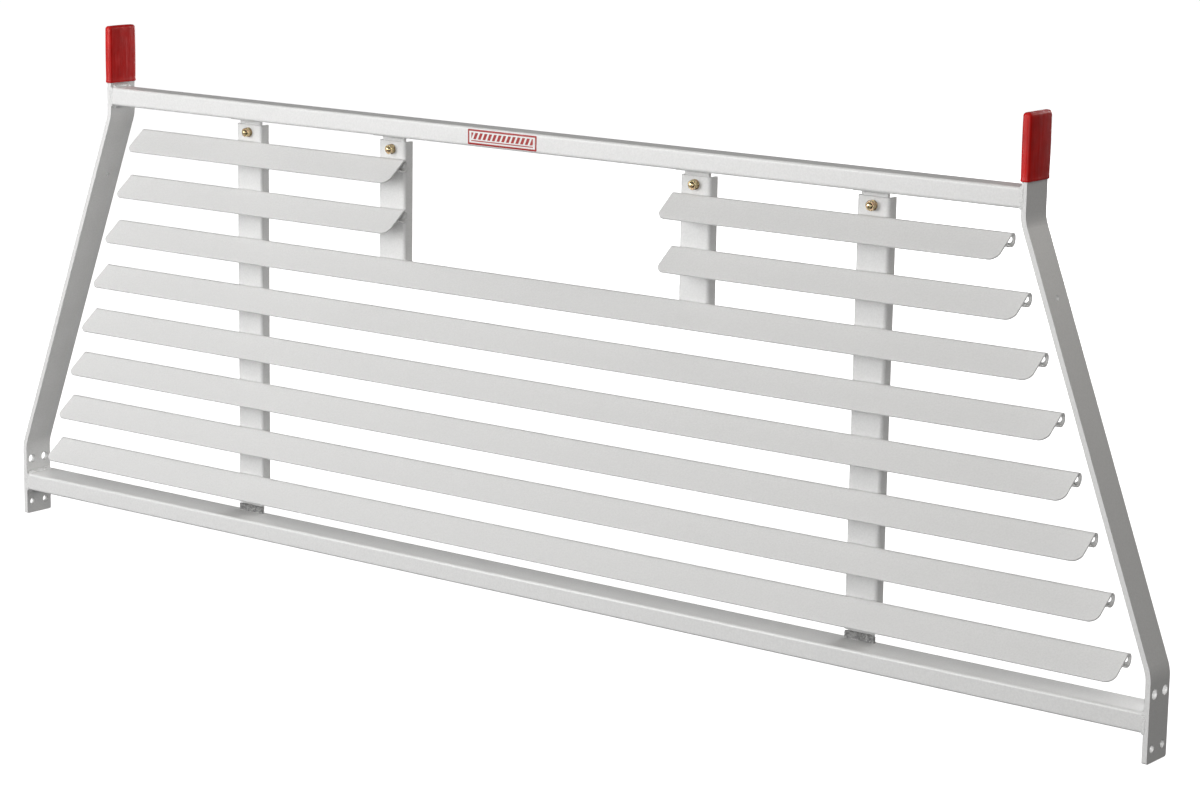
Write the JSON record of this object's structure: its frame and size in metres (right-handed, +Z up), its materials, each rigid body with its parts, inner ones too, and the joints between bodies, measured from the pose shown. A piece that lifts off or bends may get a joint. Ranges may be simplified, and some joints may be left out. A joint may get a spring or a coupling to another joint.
{
  "type": "headache rack",
  "caption": "Louvred steel headache rack for a pickup bed, with leaning flat-bar uprights, a sight window and vinyl-capped tops.",
  "frame": {"origin": "midway between the feet of the uprights, level with their lower ends and in the middle of the rack's depth", "axes": "+X across the truck, +Y from the louvred front towards the posts at the back, +Z up"},
  "size_m": [1.78, 0.0576, 0.7],
  "materials": {
    "white_powder_coat": "gloss powder coat",
    "red_vinyl": "satin dip-moulded vinyl",
    "yellow_zinc": "yellow zinc plate",
    "label_film": "printed film"
  },
  "bodies": {
    "root": {"bolts": "yellow_zinc", "bottom_rail": "white_powder_coat", "cap_left": "red_vinyl", "cap_right": "red_vinyl", "label": "label_film", "louvre_1_left": "white_powder_coat", "louvre_1_right": "white_powder_coat", "louvre_2_left": "white_powder_coat", "louvre_2_right": "white_powder_coat", "louvre_3": "white_powder_coat", "louvre_4": "white_powder_coat", "louvre_5": "white_powder_coat", "louvre_6": "white_powder_coat", "louvre_7": "white_powder_coat", "louvre_8": "white_powder_coat", "nuts": "yellow_zinc", "post_inner_left": "white_powder_coat", "post_inner_right": "white_powder_coat", "post_outer_left": "white_powder_coat", "post_outer_right": "white_powder_coat", "tab_lower_left": "white_powder_coat", "tab_lower_right": "white_powder_coat", "tab_upper_inner_left": "white_powder_coat", "tab_upper_inner_right": "white_powder_coat", "tab_upper_outer_left": "white_powder_coat", "tab_upper_outer_right": "white_powder_coat", "top_rail": "white_powder_coat", "upright_left": "white_powder_coat", "upright_right": "white_powder_coat", "washers": "yellow_zinc", "welds": "white_powder_coat"}
  },
  "joints": []
}
